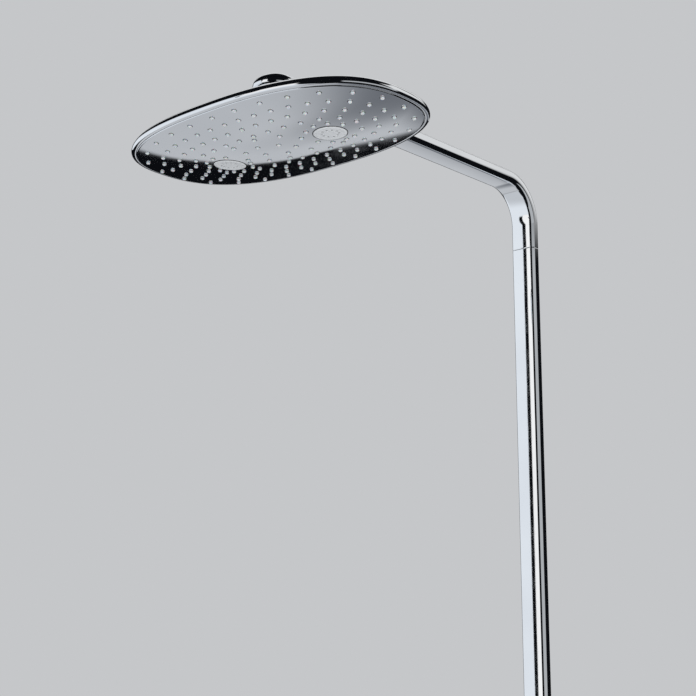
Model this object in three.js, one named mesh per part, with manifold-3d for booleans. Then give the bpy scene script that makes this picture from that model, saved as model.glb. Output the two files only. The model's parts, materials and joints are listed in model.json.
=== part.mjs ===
// Rainfall shower column: a wide oval head on a swivelling arm, a flat chrome riser and a bar mixer.
// Millimetres, +Z up. The wall is the plane y = 0 and the shower stands in front of it, towards -Y.
// The origin is the middle of the wall bracket's back face.

import * as THREE from 'three';
import { mergeVertices } from 'three/addons/utils/BufferGeometryUtils.js';
import Module from 'manifold-3d';

const wasm = await Module();
wasm.setup();

// ---- Driving dimensions -------------------------------------------------------------------------

const GAP = 0.3; // clearance between pieces that touch
const STAND_OFF = 68; // wall to the column's axis
const REACH = 470; // column's axis to the head's centre
const HEAD_HEIGHT = 640; // bracket to the head's rim, its widest line
const MIXER_DROP = 420; // bracket down to the mixer's axis
const SEAM_DROP = 24; // rim down to the swivel seam

const SECTION_WIDTH = 34; // the flat section that column and arm share
const SECTION_DEPTH = 17;
const SECTION_CORNER = 6;
const SECTION_WALL = 1.5;
const BORE_WIDTH = SECTION_WIDTH - 2 * SECTION_WALL;
const BORE_DEPTH = SECTION_DEPTH - 2 * SECTION_WALL;
const BORE_CORNER = SECTION_CORNER - SECTION_WALL;

const ARM_CLEARANCE = 53; // rim up to the arm's underside
const ARM_AXIS = ARM_CLEARANCE + SECTION_DEPTH / 2; // rim up to the arm's centre line
const BEND_RADIUS = 45 + SECTION_DEPTH / 2; // at the centre line
const BEND_STEPS = 10;

const HEAD_LENGTH = 360;
const HEAD_WIDTH = 216;
const HEAD_SHAPE = 2.5; // exponent of the superellipse: 2 is an ellipse
const RIM_BAND = 40; // outer band where the outlines keep an even distance
const FACE_BULGE = 12; // how far the spray face swells below its edge
const FACE_EDGE = -1.5; // the face's edge, relative to the rim's widest line
const SHEET = 1.5; // face plate thickness

const DISC_OFFSET = 74.5; // massage discs, either side of the centre
const DISC_FORWARD = 5; // and a little towards the wall
const DISC_RADIUS = 17.8;

const BALL_HEIGHT = 38; // ball centre above the rim
const BALL_RADIUS = 10;
const STEM_RADIUS = 5.5;
const HUB_RADIUS = 25;
const HUB_SPLIT = 60; // hub body below, cap above
const HUB_TOP = 71;
const DOME_FOOT = 57; // the hub's side starts to round over here

const PIPE_RADIUS = 3.2;
const PIPE_BORE = 2.2;
const PIPE_SPREAD = 6.6; // rain on +X, massage on -X
const SPIGOT_RADIUS = 4.8;
const SPIGOT_BORE = 3;

const BAR_RADIUS = 22; // mixer bar
const BAR_LENGTH = 190;
const INLET_SPACING = 150; // hot and cold, centre to centre
const HANDLE_RADIUS = 23.5;
const HANDLE_LENGTH = 44;

const ROUND = 20; // segments of the larger round pieces
const MIDDLE_ROUND = 16;
const SMALL_ROUND = 12;
const HEAD_ROUND = 40;

// ---- Materials ----------------------------------------------------------------------------------

function material(color, roughness, metalness) {
  return new THREE.MeshStandardMaterial({ color, roughness, metalness });
}

const chrome = material(0xdfe2e5, 0.06, 1);
const mirror = material(0xd2d5d9, 0.03, 1);
const silicone = material(0xdde0e0, 0.55, 0);
const paleDisc = material(0xe8eaea, 0.45, 0);
const plastic = material(0x3c4146, 0.5, 0);
const brass = material(0xb8985a, 0.35, 1);
const steel = material(0xa9adb2, 0.3, 1);
const rubber = material(0x1d1f21, 0.75, 0);
const hose = material(0xc9ccd0, 0.5, 0);

// ---- Shapes -------------------------------------------------------------------------------------

function toSolid(geometry) {
  const bare = geometry.clone();
  bare.deleteAttribute('normal');
  bare.deleteAttribute('uv');
  const merged = mergeVertices(bare, 1e-3);
  const corners = merged.index.array;
  const kept = [];
  for (let i = 0; i < corners.length; i += 3) {
    const [a, b, c] = [corners[i], corners[i + 1], corners[i + 2]];
    if (a !== b && b !== c && c !== a) {
      kept.push(a, b, c);
    }
  }
  const vertProperties = new Float32Array(merged.attributes.position.array);
  return new wasm.Manifold(new wasm.Mesh({ numProp: 3, vertProperties, triVerts: new Uint32Array(kept) }));
}

function toGeometry(solid) {
  const mesh = solid.getMesh();
  const geometry = new THREE.BufferGeometry();
  geometry.setAttribute('position', new THREE.BufferAttribute(mesh.vertProperties, 3));
  geometry.setIndex(new THREE.BufferAttribute(mesh.triVerts, 1));
  return geometry;
}

function cut(geometry, ...tools) {
  return toGeometry(tools.reduce((solid, tool) => solid.subtract(toSolid(tool)), toSolid(geometry)));
}

function join(geometry, ...others) {
  return toGeometry(others.reduce((solid, other) => solid.add(toSolid(other)), toSolid(geometry)));
}

function roundedRectangle(width, depth, corner, perCorner = 2) {
  const points = [];
  for (let quadrant = 0; quadrant < 4; quadrant += 1) {
    const alongX = quadrant === 0 || quadrant === 3 ? 1 : -1;
    const alongY = quadrant < 2 ? 1 : -1;
    const centreX = alongX * (width / 2 - corner);
    const centreY = alongY * (depth / 2 - corner);
    for (let k = 0; k <= perCorner; k += 1) {
      const angle = ((quadrant + k / perCorner) * Math.PI) / 2;
      points.push(new THREE.Vector2(centreX + corner * Math.cos(angle), centreY + corner * Math.sin(angle)));
    }
  }
  return points;
}

function circle(radius, segments = SMALL_ROUND) {
  return Array.from({ length: segments }, (_, k) => {
    const angle = (2 * Math.PI * k) / segments;
    return new THREE.Vector2(radius * Math.cos(angle), radius * Math.sin(angle));
  });
}

function outlined(outline, holes = []) {
  const shape = new THREE.Shape(outline);
  shape.holes = holes.map((hole) => new THREE.Path(hole));
  return shape;
}

// A flat outline raised from bottom to top along Z.
function raised(outline, bottom, top, holes = []) {
  const options = { depth: top - bottom, bevelEnabled: false };
  return new THREE.ExtrudeGeometry(outlined(outline, holes), options).translate(0, 0, bottom);
}

// A profile of [radius, height] pairs turned about Z. It runs outwards below and inwards above.
function turned(profile, segments = SMALL_ROUND) {
  const points = profile.map(([radius, height]) => new THREE.Vector2(radius, height));
  return new THREE.LatheGeometry(points, segments).rotateX(Math.PI / 2);
}

function rod(radius, bottom, top, segments = SMALL_ROUND) {
  return turned([[0, bottom], [radius, bottom], [radius, top], [0, top]], segments);
}

function sleeve(outer, inner, bottom, top, segments = SMALL_ROUND) {
  return turned([[inner, bottom], [outer, bottom], [outer, top], [inner, top], [inner, bottom]], segments);
}

// Points along a circle about (0, height) in a turned profile, from one elevation to another, in degrees.
function ballProfile(radius, height, from, to, steps) {
  return Array.from({ length: steps + 1 }, (_, k) => {
    const angle = THREE.MathUtils.degToRad(from + ((to - from) * k) / steps);
    return [radius * Math.cos(angle), height + radius * Math.sin(angle)];
  });
}

// A round turned form pulled out to the head's oval. Radii are measured along the head's long half.
function oval(profile) {
  const geometry = turned(profile, HEAD_ROUND);
  const position = geometry.attributes.position;
  for (let i = 0; i < position.count; i += 1) {
    const x = position.getX(i);
    const y = position.getY(i);
    const angle = Math.atan2(y, x);
    const [ovalX, ovalY] = ovalPoint(Math.hypot(x, y), angle);
    position.setXY(i, ovalX, ovalY);
  }
  return geometry;
}

function ovalPoint(radius, angle) {
  const inset = HEAD_LENGTH / 2 - radius;
  const inner = (HEAD_WIDTH / 2 - RIM_BAND) / (HEAD_LENGTH / 2 - RIM_BAND);
  const halfWidth = inset <= RIM_BAND ? HEAD_WIDTH / 2 - inset : radius * inner;
  const power = 2 / HEAD_SHAPE;
  const c = Math.cos(angle);
  const s = Math.sin(angle);
  return [radius * Math.sign(c) * Math.abs(c) ** power, halfWidth * Math.sign(s) * Math.abs(s) ** power];
}

// The centre line of the arm: up from the seam, a quarter turn, then forwards along -Y.
class ArmPath extends THREE.Curve {
  constructor(start, end) {
    super();
    this.start = start;
    this.end = end;
    this.rise = ARM_AXIS + SEAM_DROP - BEND_RADIUS;
  }

  // One step each for the two straight lengths and BEND_STEPS for the bend.
  getPoint(t, target = new THREE.Vector3()) {
    const step = t * (BEND_STEPS + 2);
    if (step <= 1) {
      return target.set(0, 0, this.start + (this.rise - this.start) * step);
    }
    if (step >= BEND_STEPS + 1) {
      const along = BEND_RADIUS + (this.end - BEND_RADIUS) * (step - BEND_STEPS - 1);
      return target.set(0, -along, this.rise + BEND_RADIUS);
    }
    const angle = ((step - 1) / BEND_STEPS) * (Math.PI / 2);
    const forward = BEND_RADIUS * (1 - Math.cos(angle));
    return target.set(0, -forward, this.rise + BEND_RADIUS * Math.sin(angle));
  }

  getPointAt(u, target) {
    return this.getPoint(u, target);
  }

  getTangentAt(u, target = new THREE.Vector3()) {
    const turn = Math.min(Math.max((u * (BEND_STEPS + 2) - 1) / BEND_STEPS, 0), 1) * (Math.PI / 2);
    return target.set(0, -Math.sin(turn), Math.cos(turn));
  }

  // The section's own x stays along X all the way.
  computeFrenetFrames(segments) {
    const tangents = Array.from({ length: segments + 1 }, (_, k) => this.getTangentAt(k / segments));
    const normals = tangents.map(() => new THREE.Vector3(1, 0, 0));
    const binormals = tangents.map((tangent, k) => new THREE.Vector3().crossVectors(tangent, normals[k]));
    return { tangents, normals, binormals };
  }
}

function alongArm(outline, hole, start, end) {
  const shape = outlined(outline, [hole]);
  return new THREE.ExtrudeGeometry(shape, { steps: BEND_STEPS + 2, extrudePath: new ArmPath(start, end) });
}

// ---- Assembly helpers ---------------------------------------------------------------------------

const shower = new THREE.Group();

function group(x, y, z) {
  const child = new THREE.Group();
  child.position.set(x, y, z);
  shower.add(child);
  return child;
}

function add(parent, name, geometry, finish, position = [0, 0, 0], rotation = [0, 0, 0]) {
  const mesh = new THREE.Mesh(geometry, finish);
  mesh.name = name;
  mesh.position.set(...position);
  mesh.rotation.set(...rotation);
  parent.add(mesh);
}

const SIDES = [['left', -1], ['right', 1]];

// ---- Head: frame at the middle of the rim's widest line -----------------------------------------

const head = group(0, -STAND_OFF - REACH, HEAD_HEIGHT);
const RIM = HEAD_LENGTH / 2;
const SOCKET_RADIUS = 19.7;
const LIP_INSET = 5; // the top shell's inner edge

function faceHeight(radius) {
  return FACE_EDGE - FACE_BULGE * (1 - (radius / RIM) ** 2);
}

// A sheet that follows the spray face, with its underside the given distance above it.
function faceSheet(edge, above, thickness) {
  const radii = [0, 90, 140, edge];
  const under = radii.map((radius) => [radius, faceHeight(radius) + above]);
  const over = under.map(([radius, height]) => [radius, height + thickness]).reverse();
  return oval([...under, ...over]);
}

function discHoles(radius) {
  return SIDES.map(([, side]) => {
    return rod(radius, -20, 10, MIDDLE_ROUND).translate(side * DISC_OFFSET, DISC_FORWARD, 0);
  });
}

function topShell() {
  const inner = [[0, 25.5], [60, 22.5], [130, 15.5], [RIM - 12, 8.5], [RIM - LIP_INSET - 0.5, 4]];
  const lip = [[RIM - LIP_INSET, FACE_EDGE], [RIM - 3.6, FACE_EDGE], [RIM - 1, -0.8]];
  const bullnose = [[RIM, 0.8], [RIM - 0.6, 3.6], [RIM - 3, 7.2], [RIM - 8, 10]];
  const dome = [[RIM - 20, 12.6], [130, 18.2], [60, 25.2], [0, 28.3]];
  return cut(oval([...inner, ...lip, ...bullnose, ...dome]), rod(SOCKET_RADIUS + GAP, 0, 40, ROUND));
}

const SCREW_RING = RIM - 12.5;
const SCREW_ANGLES = [45, 135, 225, 315].map(THREE.MathUtils.degToRad);
const CHAMBER_FLOOR = 3;
const CHAMBER_TOP = 5;

function sprayFace() {
  const plate = faceSheet(RIM - LIP_INSET - 0.4, 0, SHEET);
  const bosses = SCREW_ANGLES.map((angle) => {
    const [x, y] = ovalPoint(SCREW_RING, angle);
    return sleeve(3, 1.9, faceHeight(SCREW_RING) + SHEET - 0.4, CHAMBER_FLOOR - GAP, 10).translate(x, y, 0);
  });
  return join(cut(plate, ...discHoles(DISC_RADIUS + 0.4)), ...bosses);
}

function waterChamber() {
  const wallOuter = RIM - 17;
  const wallInner = wallOuter - 5;
  const wallFoot = faceHeight(wallInner) + SHEET + 3.4;
  const flange = RIM - 8.5;
  const innerSide = [[wallInner, CHAMBER_FLOOR], [wallInner, wallFoot]];
  const outerSide = [[wallOuter, wallFoot], [wallOuter, CHAMBER_FLOOR]];
  const edge = [[flange, CHAMBER_FLOOR], [flange, CHAMBER_TOP]];
  const profile = [[0, CHAMBER_FLOOR], ...innerSide, ...outerSide, ...edge, [0, CHAMBER_TOP]];
  const screwHoles = SCREW_ANGLES.map((angle) => {
    const [x, y] = ovalPoint(SCREW_RING, angle);
    return rod(1.9, 0, 10, 10).translate(x, y, 0);
  });
  return cut(oval(profile), rod(4.6, 0, 10), ...screwHoles);
}

function chamberGasket() {
  const outer = RIM - 17.5;
  const bottom = faceHeight(outer) + SHEET + 1.8;
  const top = bottom + 1;
  return oval([[outer - 4, bottom], [outer, bottom], [outer, top], [outer - 4, top], [outer - 4, bottom]]);
}

add(head, 'head_top_shell', topShell(), chrome);
add(head, 'spray_face', sprayFace(), mirror);
const mat = faceSheet(RIM - 17, SHEET + GAP, 1.2);
add(head, 'nozzle_mat', cut(mat, ...discHoles(DISC_RADIUS + 1)), silicone);
add(head, 'water_chamber', waterChamber(), plastic);
add(head, 'chamber_gasket', chamberGasket(), rubber);

// Each massage disc lies in the face and leans with its slope.
const discLean = Math.atan((2 * FACE_BULGE * DISC_OFFSET) / RIM ** 2);
for (const [side, sign] of SIDES) {
  const place = [sign * DISC_OFFSET, DISC_FORWARD, faceHeight(DISC_OFFSET)];
  const lean = [0, -sign * discLean, 0];
  const discEdge = [[16, -0.5], [DISC_RADIUS, 0.2], [DISC_RADIUS, 2.5]];
  const disc = turned([[0, -0.5], ...discEdge, [0, 2.5]], MIDDLE_ROUND);
  add(head, `massage_disc_${side}`, disc, paleDisc, place, lean);
  const cupWall = [[13, 2.8], [15.5, 2.8], [15.5, 12]];
  const cup = turned([...cupWall, [0, 12], [0, 10], [13, 10], [13, 2.8]], MIDDLE_ROUND);
  add(head, `massage_housing_${side}`, cup, plastic, place, lean);
}

SCREW_ANGLES.forEach((angle, k) => {
  const [x, y] = ovalPoint(SCREW_RING, angle);
  const seat = CHAMBER_TOP + GAP;
  const screw = turned([[0, 0.4], [1.5, 0.4], [1.5, seat], [2.4, seat], [2.4, 6.5], [0, 6.5]], 10);
  add(head, `head_screw_${k + 1}`, screw, steel, [x, y, 0]);
});

// ---- Ball joint: socket and nut on the head, ring between, ball and stem on the arm --------------

const CAVITY_RADIUS = BALL_RADIUS + 2.6;
const NUT_OPENING = 45; // degrees above the ball's middle where the nut's lip ends
const SOCKET_THREAD = 17;

function ballSocket() {
  const bore = 4.6;
  const bottom = CHAMBER_TOP + GAP;
  const lowest = -THREE.MathUtils.radToDeg(Math.acos(bore / CAVITY_RADIUS));
  const outside = [[bore, bottom], [SOCKET_RADIUS, bottom], [SOCKET_RADIUS, 30], [SOCKET_THREAD, 30]];
  const cavity = ballProfile(CAVITY_RADIUS, BALL_HEIGHT, 0, lowest, 4);
  return turned([...outside, [SOCKET_THREAD, BALL_HEIGHT], ...cavity, [bore, bottom]], ROUND);
}

function socketNut() {
  const opening = ballProfile(CAVITY_RADIUS, BALL_HEIGHT, NUT_OPENING, 2, 4);
  const skirt = [[SOCKET_THREAD + GAP, BALL_HEIGHT + GAP], [SOCKET_THREAD + GAP, 30 + GAP], [21, 30 + GAP]];
  return turned([...opening, ...skirt, [21, 40], [13.4, 48.4], [9.6, 48.4], opening[0]], ROUND);
}

function ballStem() {
  const neck = THREE.MathUtils.radToDeg(Math.acos(STEM_RADIUS / BALL_RADIUS));
  const low = THREE.MathUtils.radToDeg(Math.acos(SPIGOT_BORE / BALL_RADIUS));
  const ball = ballProfile(BALL_RADIUS, BALL_HEIGHT, -low, neck, 8);
  const groove = [[STEM_RADIUS, 57], [4.4, 57], [4.4, 59], [STEM_RADIUS, 59]];
  return turned([...ball, ...groove, [STEM_RADIUS, 62], [SPIGOT_BORE, 62], ball[0]], MIDDLE_ROUND);
}

function frictionRing() {
  const inner = ballProfile(BALL_RADIUS + 0.4, BALL_HEIGHT, 28, -40, 4);
  const outer = ballProfile(CAVITY_RADIUS - 0.4, BALL_HEIGHT, -40, 28, 4);
  return turned([...outer, ...inner, outer[0]], MIDDLE_ROUND);
}

add(head, 'ball_socket', ballSocket(), brass);
add(head, 'inlet_strainer', rod(4.1, CHAMBER_TOP + 1, CHAMBER_TOP + 3), steel);
add(head, 'socket_nut', socketNut(), chrome);
add(head, 'ball_friction_ring', frictionRing(), plastic);
add(head, 'ball_stem', ballStem(), brass);
add(head, 'stem_oring', sleeve(5.55, 4.6, 57.3, 58.7, MIDDLE_ROUND), rubber);

// ---- Arm: frame on the column's axis at the swivel seam -----------------------------------------

const arm = group(0, -STAND_OFF, HEAD_HEIGHT - SEAM_DROP);
const armTop = SEAM_DROP; // head heights become arm heights by adding this
const section = roundedRectangle(SECTION_WIDTH, SECTION_DEPTH, SECTION_CORNER);
const sectionBore = roundedRectangle(BORE_WIDTH, BORE_DEPTH, BORE_CORNER);
const GRUB_HEIGHT = -29.5; // grub screw that runs in the spigot's middle groove
const sectionPlug = roundedRectangle(BORE_WIDTH - 2 * GAP, BORE_DEPTH - 2 * GAP, BORE_CORNER - GAP);

const aroundWidth = SECTION_WIDTH + 2 * GAP;
const aroundSection = roundedRectangle(aroundWidth, SECTION_DEPTH + 2 * GAP, SECTION_CORNER + GAP);
const ARM_END = REACH - 16; // the arm's end, inside the hub's wall
const HUB_CAVITY = 21;
const MANIFOLD_RADIUS = 15;
const hubBottom = ARM_CLEARANCE + armTop;
const hubSplit = HUB_SPLIT + armTop;
const stemTop = 62 + armTop;

// The hub's side that faces the column is opened for the arm.
function armOpening() {
  const opening = raised(aroundSection, REACH - HUB_RADIUS - 10, ARM_END + GAP).rotateX(Math.PI / 2);
  return opening.translate(0, 0, ARM_AXIS + armTop);
}

function atHub(geometry) {
  return geometry.translate(0, -REACH, 0);
}

// A point of the hub's domed outside at a height.
function domePoint(height) {
  const share = (height - DOME_FOOT - armTop) / (HUB_TOP - DOME_FOOT);
  return [HUB_RADIUS * Math.sqrt(1 - share ** 2), height];
}

function hubBody() {
  const outside = [[0, hubBottom], [HUB_RADIUS - 2, hubBottom], [HUB_RADIUS, hubBottom + 2]];
  const shoulder = [[HUB_RADIUS, DOME_FOOT + armTop], domePoint(hubSplit)];
  const floor = hubBottom + 3;
  const cavity = [[HUB_CAVITY, hubSplit], [HUB_CAVITY, floor], [0, floor]];
  const shell = turned([...outside, ...shoulder, ...cavity], ROUND);
  const stemHole = rod(STEM_RADIUS + GAP, hubBottom - 5, hubBottom + 5, MIDDLE_ROUND);
  return cut(atHub(shell), atHub(stemHole), armOpening());
}

function hubCap() {
  const bottom = hubSplit + GAP;
  const roof = bottom + 5;
  const top = HUB_TOP + armTop;
  const dome = [0, 0.3, 0.55, 0.75, 0.9, 0.98].map((share) => domePoint(bottom + (top - bottom) * share));
  const under = [[0, roof], [HUB_CAVITY - 4, roof], [HUB_CAVITY, bottom]];
  return cut(atHub(turned([...under, ...dome, [0, top]], ROUND)), armOpening());
}

function hubManifold() {
  const block = rod(MANIFOLD_RADIUS, hubBottom + 3 + GAP, hubSplit + 4, MIDDLE_ROUND);
  return cut(atHub(block), atHub(rod(STEM_RADIUS + GAP, hubBottom, stemTop + GAP, MIDDLE_ROUND)));
}

function innerHose(side) {
  const end = REACH - MANIFOLD_RADIUS - GAP;
  return alongArm(circle(PIPE_RADIUS, 8), circle(PIPE_BORE, 8), 24, end).translate(side * PIPE_SPREAD, 0, 0);
}

function swivelSpigot() {
  const plug = raised(sectionPlug, 2, 20, [circle(SPIGOT_BORE)]);
  const outside = [[SPIGOT_BORE, -52], [SPIGOT_RADIUS, -52]];
  for (const [bottom, height] of [[-48, 3], [GRUB_HEIGHT - 2.5, 5], [-12, 3]]) {
    outside.push([SPIGOT_RADIUS, bottom], [SPIGOT_RADIUS - 1, bottom]);
    outside.push([SPIGOT_RADIUS - 1, bottom + height], [SPIGOT_RADIUS, bottom + height]);
  }
  return join(plug, turned([...outside, [SPIGOT_RADIUS, 2.5], [SPIGOT_BORE, 2.5], [SPIGOT_BORE, -52]]));
}

add(arm, 'arm_tube', alongArm(section, sectionBore, GAP, ARM_END), chrome);
add(arm, 'hub_body', hubBody(), chrome);
add(arm, 'hub_cap', hubCap(), chrome);
add(arm, 'hub_manifold', hubManifold(), plastic);
add(arm, 'rain_hose', innerHose(1), hose);
add(arm, 'massage_hose', innerHose(-1), hose);
add(arm, 'swivel_spigot', swivelSpigot(), brass);
add(arm, 'swivel_inner_tube', sleeve(1.9, 1.2, -54, 22, 10), plastic);
for (const [name, bottom] of [['lower', -48], ['upper', -12]]) {
  const ring = sleeve(SPIGOT_RADIUS + 0.1, SPIGOT_RADIUS - 0.9, bottom + 0.5, bottom + 2.5);
  add(arm, `spigot_oring_${name}`, ring, rubber);
}

// ---- Column: frame on its axis at the swivel seam -----------------------------------------------

const RISER_FOOT = -(HEAD_HEIGHT - SEAM_DROP + MIXER_DROP) + BAR_RADIUS + 3;
const HOUSING_FOOT = -74;
const MEETING = -57; // where the two pipes' bores meet the swivel's

function grubHole(radius) {
  return rod(radius, SPIGOT_RADIUS - 1, SECTION_DEPTH).rotateX(-Math.PI / 2).translate(0, 0, GRUB_HEIGHT);
}

function riserTube() {
  return cut(raised(section, RISER_FOOT, 0, [sectionBore]), grubHole(2.3));
}

function swivelHousing() {
  const main = rod(SPIGOT_RADIUS + 0.4, MEETING, 1, MIDDLE_ROUND);
  const pipes = [1, -1].map((side) => {
    return rod(PIPE_RADIUS + GAP, HOUSING_FOOT - 1, MEETING + 3).translate(side * PIPE_SPREAD, 0, 0);
  });
  return cut(raised(sectionPlug, HOUSING_FOOT, -0.6), main, ...pipes, grubHole(2.3));
}

function risingPipe(side) {
  const pipe = sleeve(PIPE_RADIUS, PIPE_BORE, RISER_FOOT + 4, HOUSING_FOOT + 12, 10);
  return pipe.translate(side * PIPE_SPREAD, 0, 0);
}

const column = group(0, -STAND_OFF, HEAD_HEIGHT - SEAM_DROP);
add(column, 'riser_tube', riserTube(), chrome);
add(column, 'swivel_housing', swivelHousing(), brass);
const grub = rod(2, SPIGOT_RADIUS - 0.5, SECTION_DEPTH / 2 - 0.6, 10).rotateX(-Math.PI / 2);
add(column, 'swivel_grub_screw', grub, steel, [0, 0, GRUB_HEIGHT]);
add(column, 'rain_pipe', risingPipe(1), brass);
add(column, 'massage_pipe', risingPipe(-1), brass);

// ---- Wall bracket: frame at the middle of its back face -----------------------------------------
// Pieces are turned about the bracket's own axis, which is laid along -Y.

const PLATE_RADIUS = 22;
const POST_RADIUS = 9;
const CLAMP_HEIGHT = 30;
const COLLAR_WALL = 4; // wall of the clamp here and of the collar at the riser's foot

const collarWidth = SECTION_WIDTH + 2 * COLLAR_WALL;
const collarOutline = roundedRectangle(collarWidth, SECTION_DEPTH + 2 * COLLAR_WALL, SECTION_CORNER + 2.5);

function outFromWall(geometry) {
  return geometry.rotateX(Math.PI / 2);
}

function bracketPlate() {
  const stud = [[6, 4], [6, 20], [0, 20]];
  const plate = turned([[0, 0], [PLATE_RADIUS, 0], [PLATE_RADIUS, 4], ...stud], MIDDLE_ROUND);
  const holes = [14.5, -14.5].map((height) => rod(2.6, -1, 5).translate(0, height, 0));
  return outFromWall(cut(plate, ...holes));
}

function bracketCover() {
  const outside = [[26, 0], [27, 0], [27, 2], [25, 9], [20, 13], [POST_RADIUS + GAP, 14]];
  const inside = [[POST_RADIUS + GAP, 12.5], [19.4, 11.6], [23.8, 8], [25.5, 1.5], [26, 0]];
  return outFromWall(turned([...outside, ...inside], ROUND));
}

function bracketArm() {
  const post = turned([[0, 4.5], [POST_RADIUS, 4.5], [POST_RADIUS, 58], [0, 58]], MIDDLE_ROUND);
  const collar = raised(collarOutline, -CLAMP_HEIGHT / 2, CLAMP_HEIGHT / 2).translate(0, -STAND_OFF, 0);
  const passage = raised(aroundSection, -CLAMP_HEIGHT, CLAMP_HEIGHT).translate(0, -STAND_OFF, 0);
  const studHole = outFromWall(rod(6 + GAP, 0, 21, MIDDLE_ROUND));
  const grubHoleBelow = rod(2.3, -POST_RADIUS - 1, 0).translate(0, -15, 0);
  return cut(join(outFromWall(post), collar), passage, studHole, grubHoleBelow);
}

const bracket = group(0, 0, 0);
add(bracket, 'wall_bracket_plate', bracketPlate(), steel);
add(bracket, 'wall_bracket_cover', bracketCover(), chrome);
add(bracket, 'wall_bracket_arm', bracketArm(), chrome);
add(bracket, 'wall_bracket_grub_screw', rod(2, -POST_RADIUS + 0.2, -6 - 0.15, 10), steel, [0, -15, 0]);

// ---- Mixer: frame at the middle of the bar, on the column's axis --------------------------------

const mixer = group(0, -STAND_OFF, -MIXER_DROP);
const BAR_END = BAR_LENGTH / 2;
const CARTRIDGE_BORE = 15;
const CARTRIDGE_DEPTH = 55;
const INLET_RADIUS = 12;
const OUTLET_X = 30; // hose outlet, off centre below the bar
const FOOT_TOP = BAR_RADIUS + 3 - GAP;

// Turned about the bar's axis: heights run along +X on the right and along -X on the left.
function alongBar(geometry, side) {
  return geometry.rotateY((side * Math.PI) / 2);
}

function towardsWall(geometry) {
  return geometry.rotateX(-Math.PI / 2);
}

// The same tool on both sides of the middle.
function mirrored(makeTool) {
  return [1, -1].map(makeTool);
}

function mixerBody() {
  const bevel = 1.5;
  const edge = BAR_RADIUS - bevel;
  const leftEnd = [[0, -BAR_END], [edge, -BAR_END], [BAR_RADIUS, -BAR_END + bevel]];
  const rightEnd = [[BAR_RADIUS, BAR_END - bevel], [edge, BAR_END], [0, BAR_END]];
  const bar = alongBar(turned([...leftEnd, ...rightEnd], ROUND), 1);
  const foot = raised(roundedRectangle(collarWidth + 2, SECTION_DEPTH + 10, 9), 0, FOOT_TOP);
  const plug = raised(sectionPlug, 0, FOOT_TOP + 18);
  const nipple = [[0, -34], [9.6, -34], [10.5, -33], [10.5, 0], [0, 0]];
  const outlet = turned(nipple, MIDDLE_ROUND).translate(OUTLET_X, 0, 0);
  const atInlet = (tool, side) => towardsWall(tool).translate((side * INLET_SPACING) / 2, 0, 0);
  const inlets = mirrored((side) => atInlet(rod(INLET_RADIUS, 0, 34, MIDDLE_ROUND), side));
  const inletBores = mirrored((side) => atInlet(rod(7.5, 0, 35), side));
  const innerEnd = BAR_END - CARTRIDGE_DEPTH;
  const cartridgeBores = mirrored((side) => {
    return alongBar(rod(CARTRIDGE_BORE, innerEnd, BAR_END + 1, MIDDLE_ROUND), side);
  });
  const channel = alongBar(rod(5, -innerEnd - 1, innerEnd + 1), 1);
  const pipeBores = mirrored((side) => {
    return rod(PIPE_RADIUS + GAP, 0, FOOT_TOP + 19).translate(side * PIPE_SPREAD, 0, 0);
  });
  const outletBore = rod(5.5, -35, 0).translate(OUTLET_X, 0, 0);
  const body = join(bar, foot, plug, outlet, ...inlets);
  return cut(body, ...cartridgeBores, channel, ...inletBores, ...pipeBores, outletBore);
}

function unionNut() {
  const hexagon = circle(18.5, 6);
  const nut = raised(hexagon, 26, 43);
  const flangeSeat = rod(INLET_RADIUS + GAP, 25, 39.3, MIDDLE_ROUND);
  return towardsWall(cut(nut, flangeSeat, rod(10 + GAP, 38, 44, MIDDLE_ROUND)));
}

function wallUnion() {
  const outside = [[7, 36], [INLET_RADIUS - GAP, 36], [INLET_RADIUS - GAP, 39], [10, 39], [10, STAND_OFF]];
  return towardsWall(turned([...outside, [7, STAND_OFF], [7, 36]], MIDDLE_ROUND));
}

function escutcheon() {
  const outside = [[10 + GAP, 53], [24, 55], [30, 60], [33, 66], [33, STAND_OFF], [31.5, STAND_OFF]];
  const inside = [[31.5, 66.4], [29, 61.2], [23.4, 56.5], [10 + GAP, 54.6], [10 + GAP, 53]];
  return towardsWall(turned([...outside, ...inside], ROUND));
}

function checkValve() {
  return towardsWall(turned([[3, 24], [7, 24], [7, 33], [5, 33], [3, 30], [3, 24]]));
}

function cartridge(side) {
  const body = [[0, BAR_END - 50], [12, BAR_END - 50], [14.5, BAR_END - 40], [14.5, BAR_END - 2]];
  const stem = [[5, BAR_END - 2], [5, BAR_END + 24], [0, BAR_END + 24]];
  return alongBar(turned([...body, ...stem], MIDDLE_ROUND), side);
}

add(mixer, 'mixer_body', mixerBody(), chrome);
for (const [name, side] of [['hot', -1], ['cold', 1]]) {
  const place = [(side * INLET_SPACING) / 2, 0, 0];
  add(mixer, `union_nut_${name}`, unionNut(), chrome, place);
  add(mixer, `wall_union_${name}`, wallUnion(), chrome, place);
  add(mixer, `escutcheon_${name}`, escutcheon(), chrome, place);
  add(mixer, `filter_washer_${name}`, towardsWall(sleeve(11.6, 6, 34.2, 35.8)), rubber, place);
  add(mixer, `check_valve_${name}`, checkValve(), plastic, place);
}
add(mixer, 'thermostat_cartridge', cartridge(-1), brass);
add(mixer, 'diverter_cartridge', cartridge(1), brass);
const footCollar = raised(collarOutline, FOOT_TOP + GAP, FOOT_TOP + 22, [aroundSection]);
add(mixer, 'riser_foot_collar', footCollar, chrome);

// ---- Handles: frames on the bar's axis at its ends ----------------------------------------------

const BUTTON_PLACE = 14; // along the temperature handle
const BUTTON_RADIUS = 4.5;
const BUTTON_TRAVEL = 1.5;
const HUB_WALL = 9;

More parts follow.
